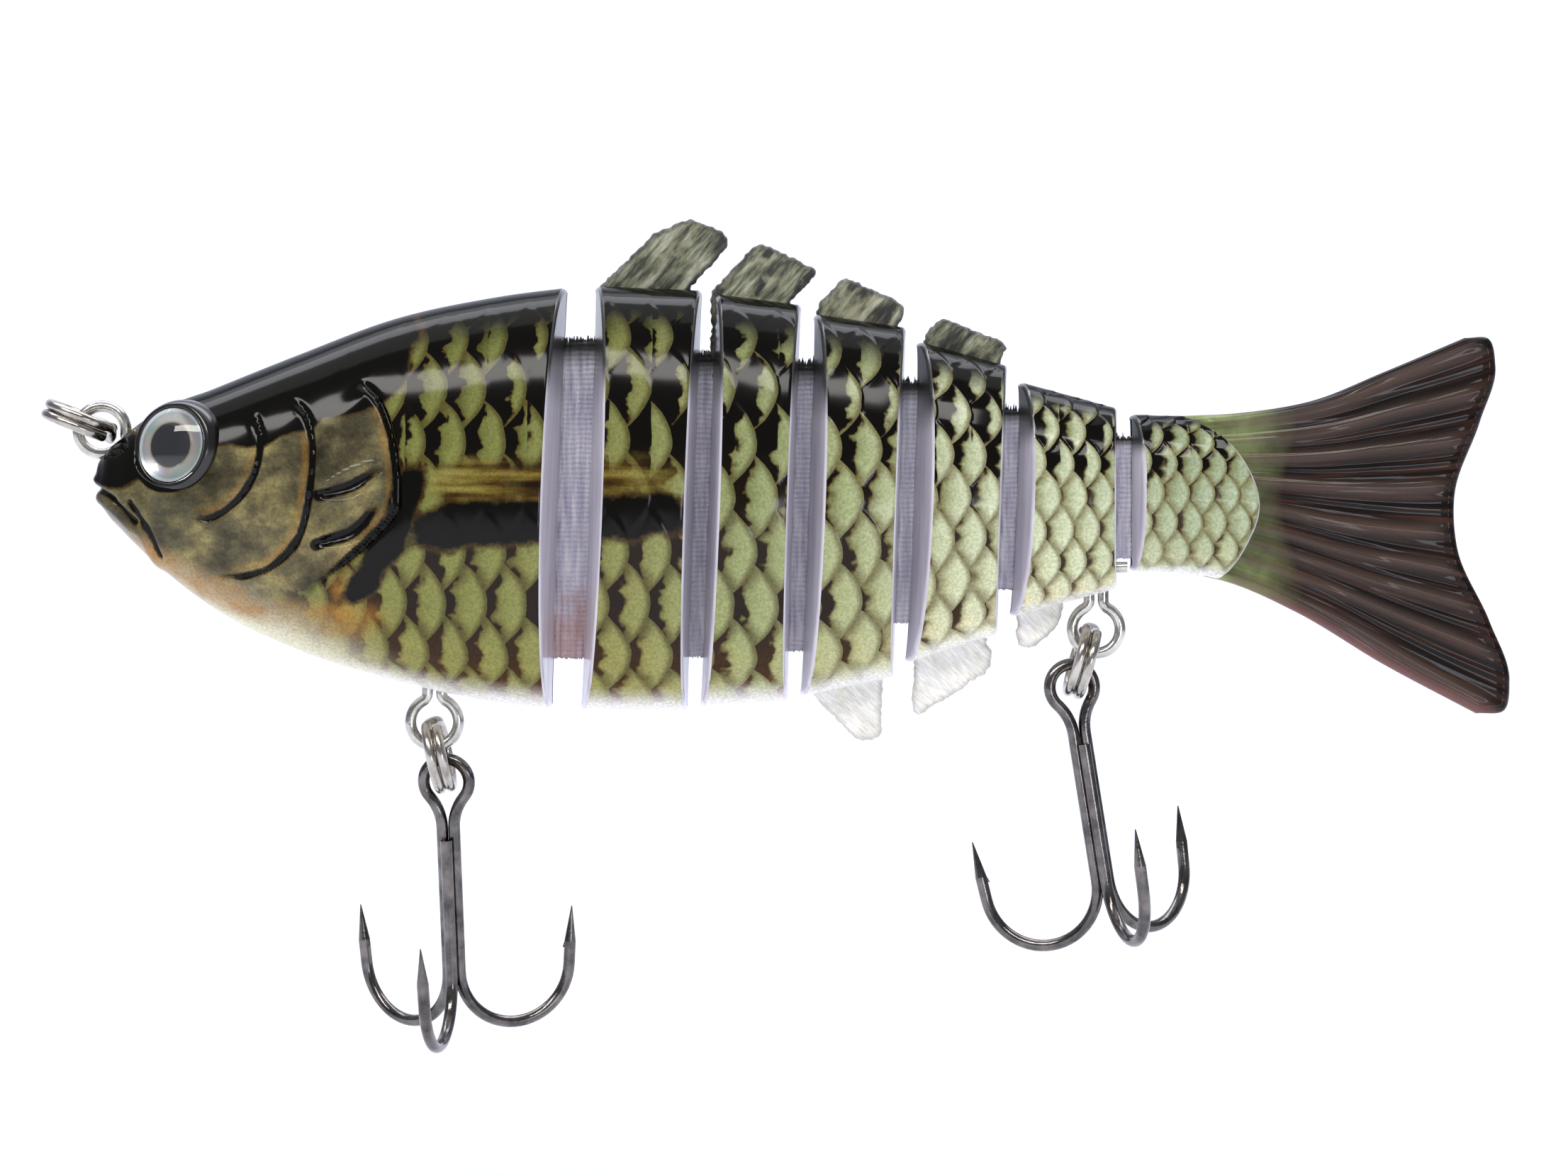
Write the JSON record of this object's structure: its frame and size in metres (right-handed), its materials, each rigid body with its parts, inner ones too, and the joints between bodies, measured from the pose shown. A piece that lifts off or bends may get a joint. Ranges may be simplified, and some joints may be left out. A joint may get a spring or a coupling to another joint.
{
  "type": "jointed swimbait",
  "caption": "Hard-bodied fishing lure shaped like a deep fish: shell pieces jointed on a woven sheet, with a forked tail blade and treble hooks on split rings.",
  "frame": {"origin": "centre of the line tie, the wire eye on the nose", "axes": "+X from nose to tail, +Z towards the back of the fish, the left flank faces -Y"},
  "size_m": [0.1042, 0.0171, 0.0589],
  "materials": {
    "printed_shell": "gloss print under clear coat",
    "printed_eye": "printed foil",
    "clear_dome": "clear gloss",
    "woven_sheet": "woven nylon",
    "tinted_blade": "tinted gloss",
    "bright_wire": "bright",
    "ring_steel": "bright",
    "hook_steel": "black nickel",
    "ballast": "plain"
  },
  "bodies": {
    "head": {"head_left_shell": "printed_shell", "head_right_shell": "printed_shell", "eye_left_print": "printed_eye", "eye_left_dome": "clear_dome", "eye_right_print": "printed_eye", "eye_right_dome": "clear_dome", "line_tie": "bright_wire", "front_hook_hanger": "bright_wire", "head_ballast": "ballast", "sheet_head": "woven_sheet"},
    "segment_1": {"segment_1_left_shell": "printed_shell", "segment_1_right_shell": "printed_shell", "sheet_segment_1": "woven_sheet", "segment_1_shot": "ballast"},
    "segment_2": {"segment_2_left_shell": "printed_shell", "segment_2_right_shell": "printed_shell", "sheet_segment_2": "woven_sheet"},
    "segment_3": {"segment_3_left_shell": "printed_shell", "segment_3_right_shell": "printed_shell", "sheet_segment_3": "woven_sheet"},
    "segment_4": {"segment_4_left_shell": "printed_shell", "segment_4_right_shell": "printed_shell", "sheet_segment_4": "woven_sheet"},
    "segment_5": {"segment_5_left_shell": "printed_shell", "segment_5_right_shell": "printed_shell", "sheet_segment_5": "woven_sheet", "rear_hook_hanger": "bright_wire"},
    "tail": {"tail_left_shell": "printed_shell", "tail_right_shell": "printed_shell", "tail_blade": "tinted_blade", "sheet_tail": "woven_sheet"},
    "line_ring": {"line_split_ring": "ring_steel"},
    "front_ring": {"front_split_ring": "ring_steel"},
    "front_hook": {"front_treble_double_wire": "hook_steel", "front_treble_third_wire": "hook_steel"},
    "rear_ring": {"rear_split_ring": "ring_steel"},
    "rear_hook": {"rear_treble_double_wire": "hook_steel", "rear_treble_third_wire": "hook_steel"}
  },
  "joints": [
    {"name": "body_bend_1", "type": "hinge", "parent": "head", "child": "segment_1", "pos_m": [0.0335, 0, -0.0045], "axis": [0.0349, 0, 0.9994], "range_deg": [-25, 25]},
    {"name": "body_bend_2", "type": "hinge", "parent": "segment_1", "child": "segment_2", "pos_m": [0.04255, 0, -0.0045], "axis": [0.0349, 0, 0.9994], "range_deg": [-13, 13]},
    {"name": "body_bend_3", "type": "hinge", "parent": "segment_2", "child": "segment_3", "pos_m": [0.04965, 0, -0.0045], "axis": [0.0349, 0, 0.9994], "range_deg": [-15, 15]},
    {"name": "body_bend_4", "type": "hinge", "parent": "segment_3", "child": "segment_4", "pos_m": [0.0571, 0, -0.0045], "axis": [0.0349, 0, 0.9994], "range_deg": [-17, 17]},
    {"name": "body_bend_5", "type": "hinge", "parent": "segment_4", "child": "segment_5", "pos_m": [0.0644, 0, -0.0045], "axis": [0.0349, 0, 0.9994], "range_deg": [-19, 19]},
    {"name": "tail_bend", "type": "hinge", "parent": "segment_5", "child": "tail", "pos_m": [0.0725, 0, -0.0045], "axis": [0, 0, 1], "range_deg": [-23, 23]},
    {"name": "line_ring_slide_round_eye", "type": "hinge", "parent": "head", "child": "line_ring", "pos_m": [0, 0, 0], "axis": [0, 1, 0], "range_deg": [-85, 85]},
    {"name": "front_ring_swing", "type": "hinge", "parent": "head", "child": "front_ring", "pos_m": [0.02393, 0, -0.02303], "axis": [0.9781, 0, 0.2079], "range_deg": [-45, 45]},
    {"name": "front_hook_swing", "type": "hinge", "parent": "front_ring", "child": "front_hook", "pos_m": [0.02442, 0.00033, -0.02536], "axis": [-0.0289, 0.9903, 0.1361], "range_deg": [-50, 50]},
    {"name": "rear_ring_swing", "type": "hinge", "parent": "segment_5", "child": "rear_ring", "pos_m": [0.06957, 0, -0.01634], "axis": [0.9613, 0, -0.2756], "range_deg": [-45, 45]},
    {"name": "rear_hook_swing", "type": "hinge", "parent": "rear_ring", "child": "rear_hook", "pos_m": [0.0689, 0, -0.01864], "axis": [0, 1, 0], "range_deg": [-50, 50]}
  ]
}
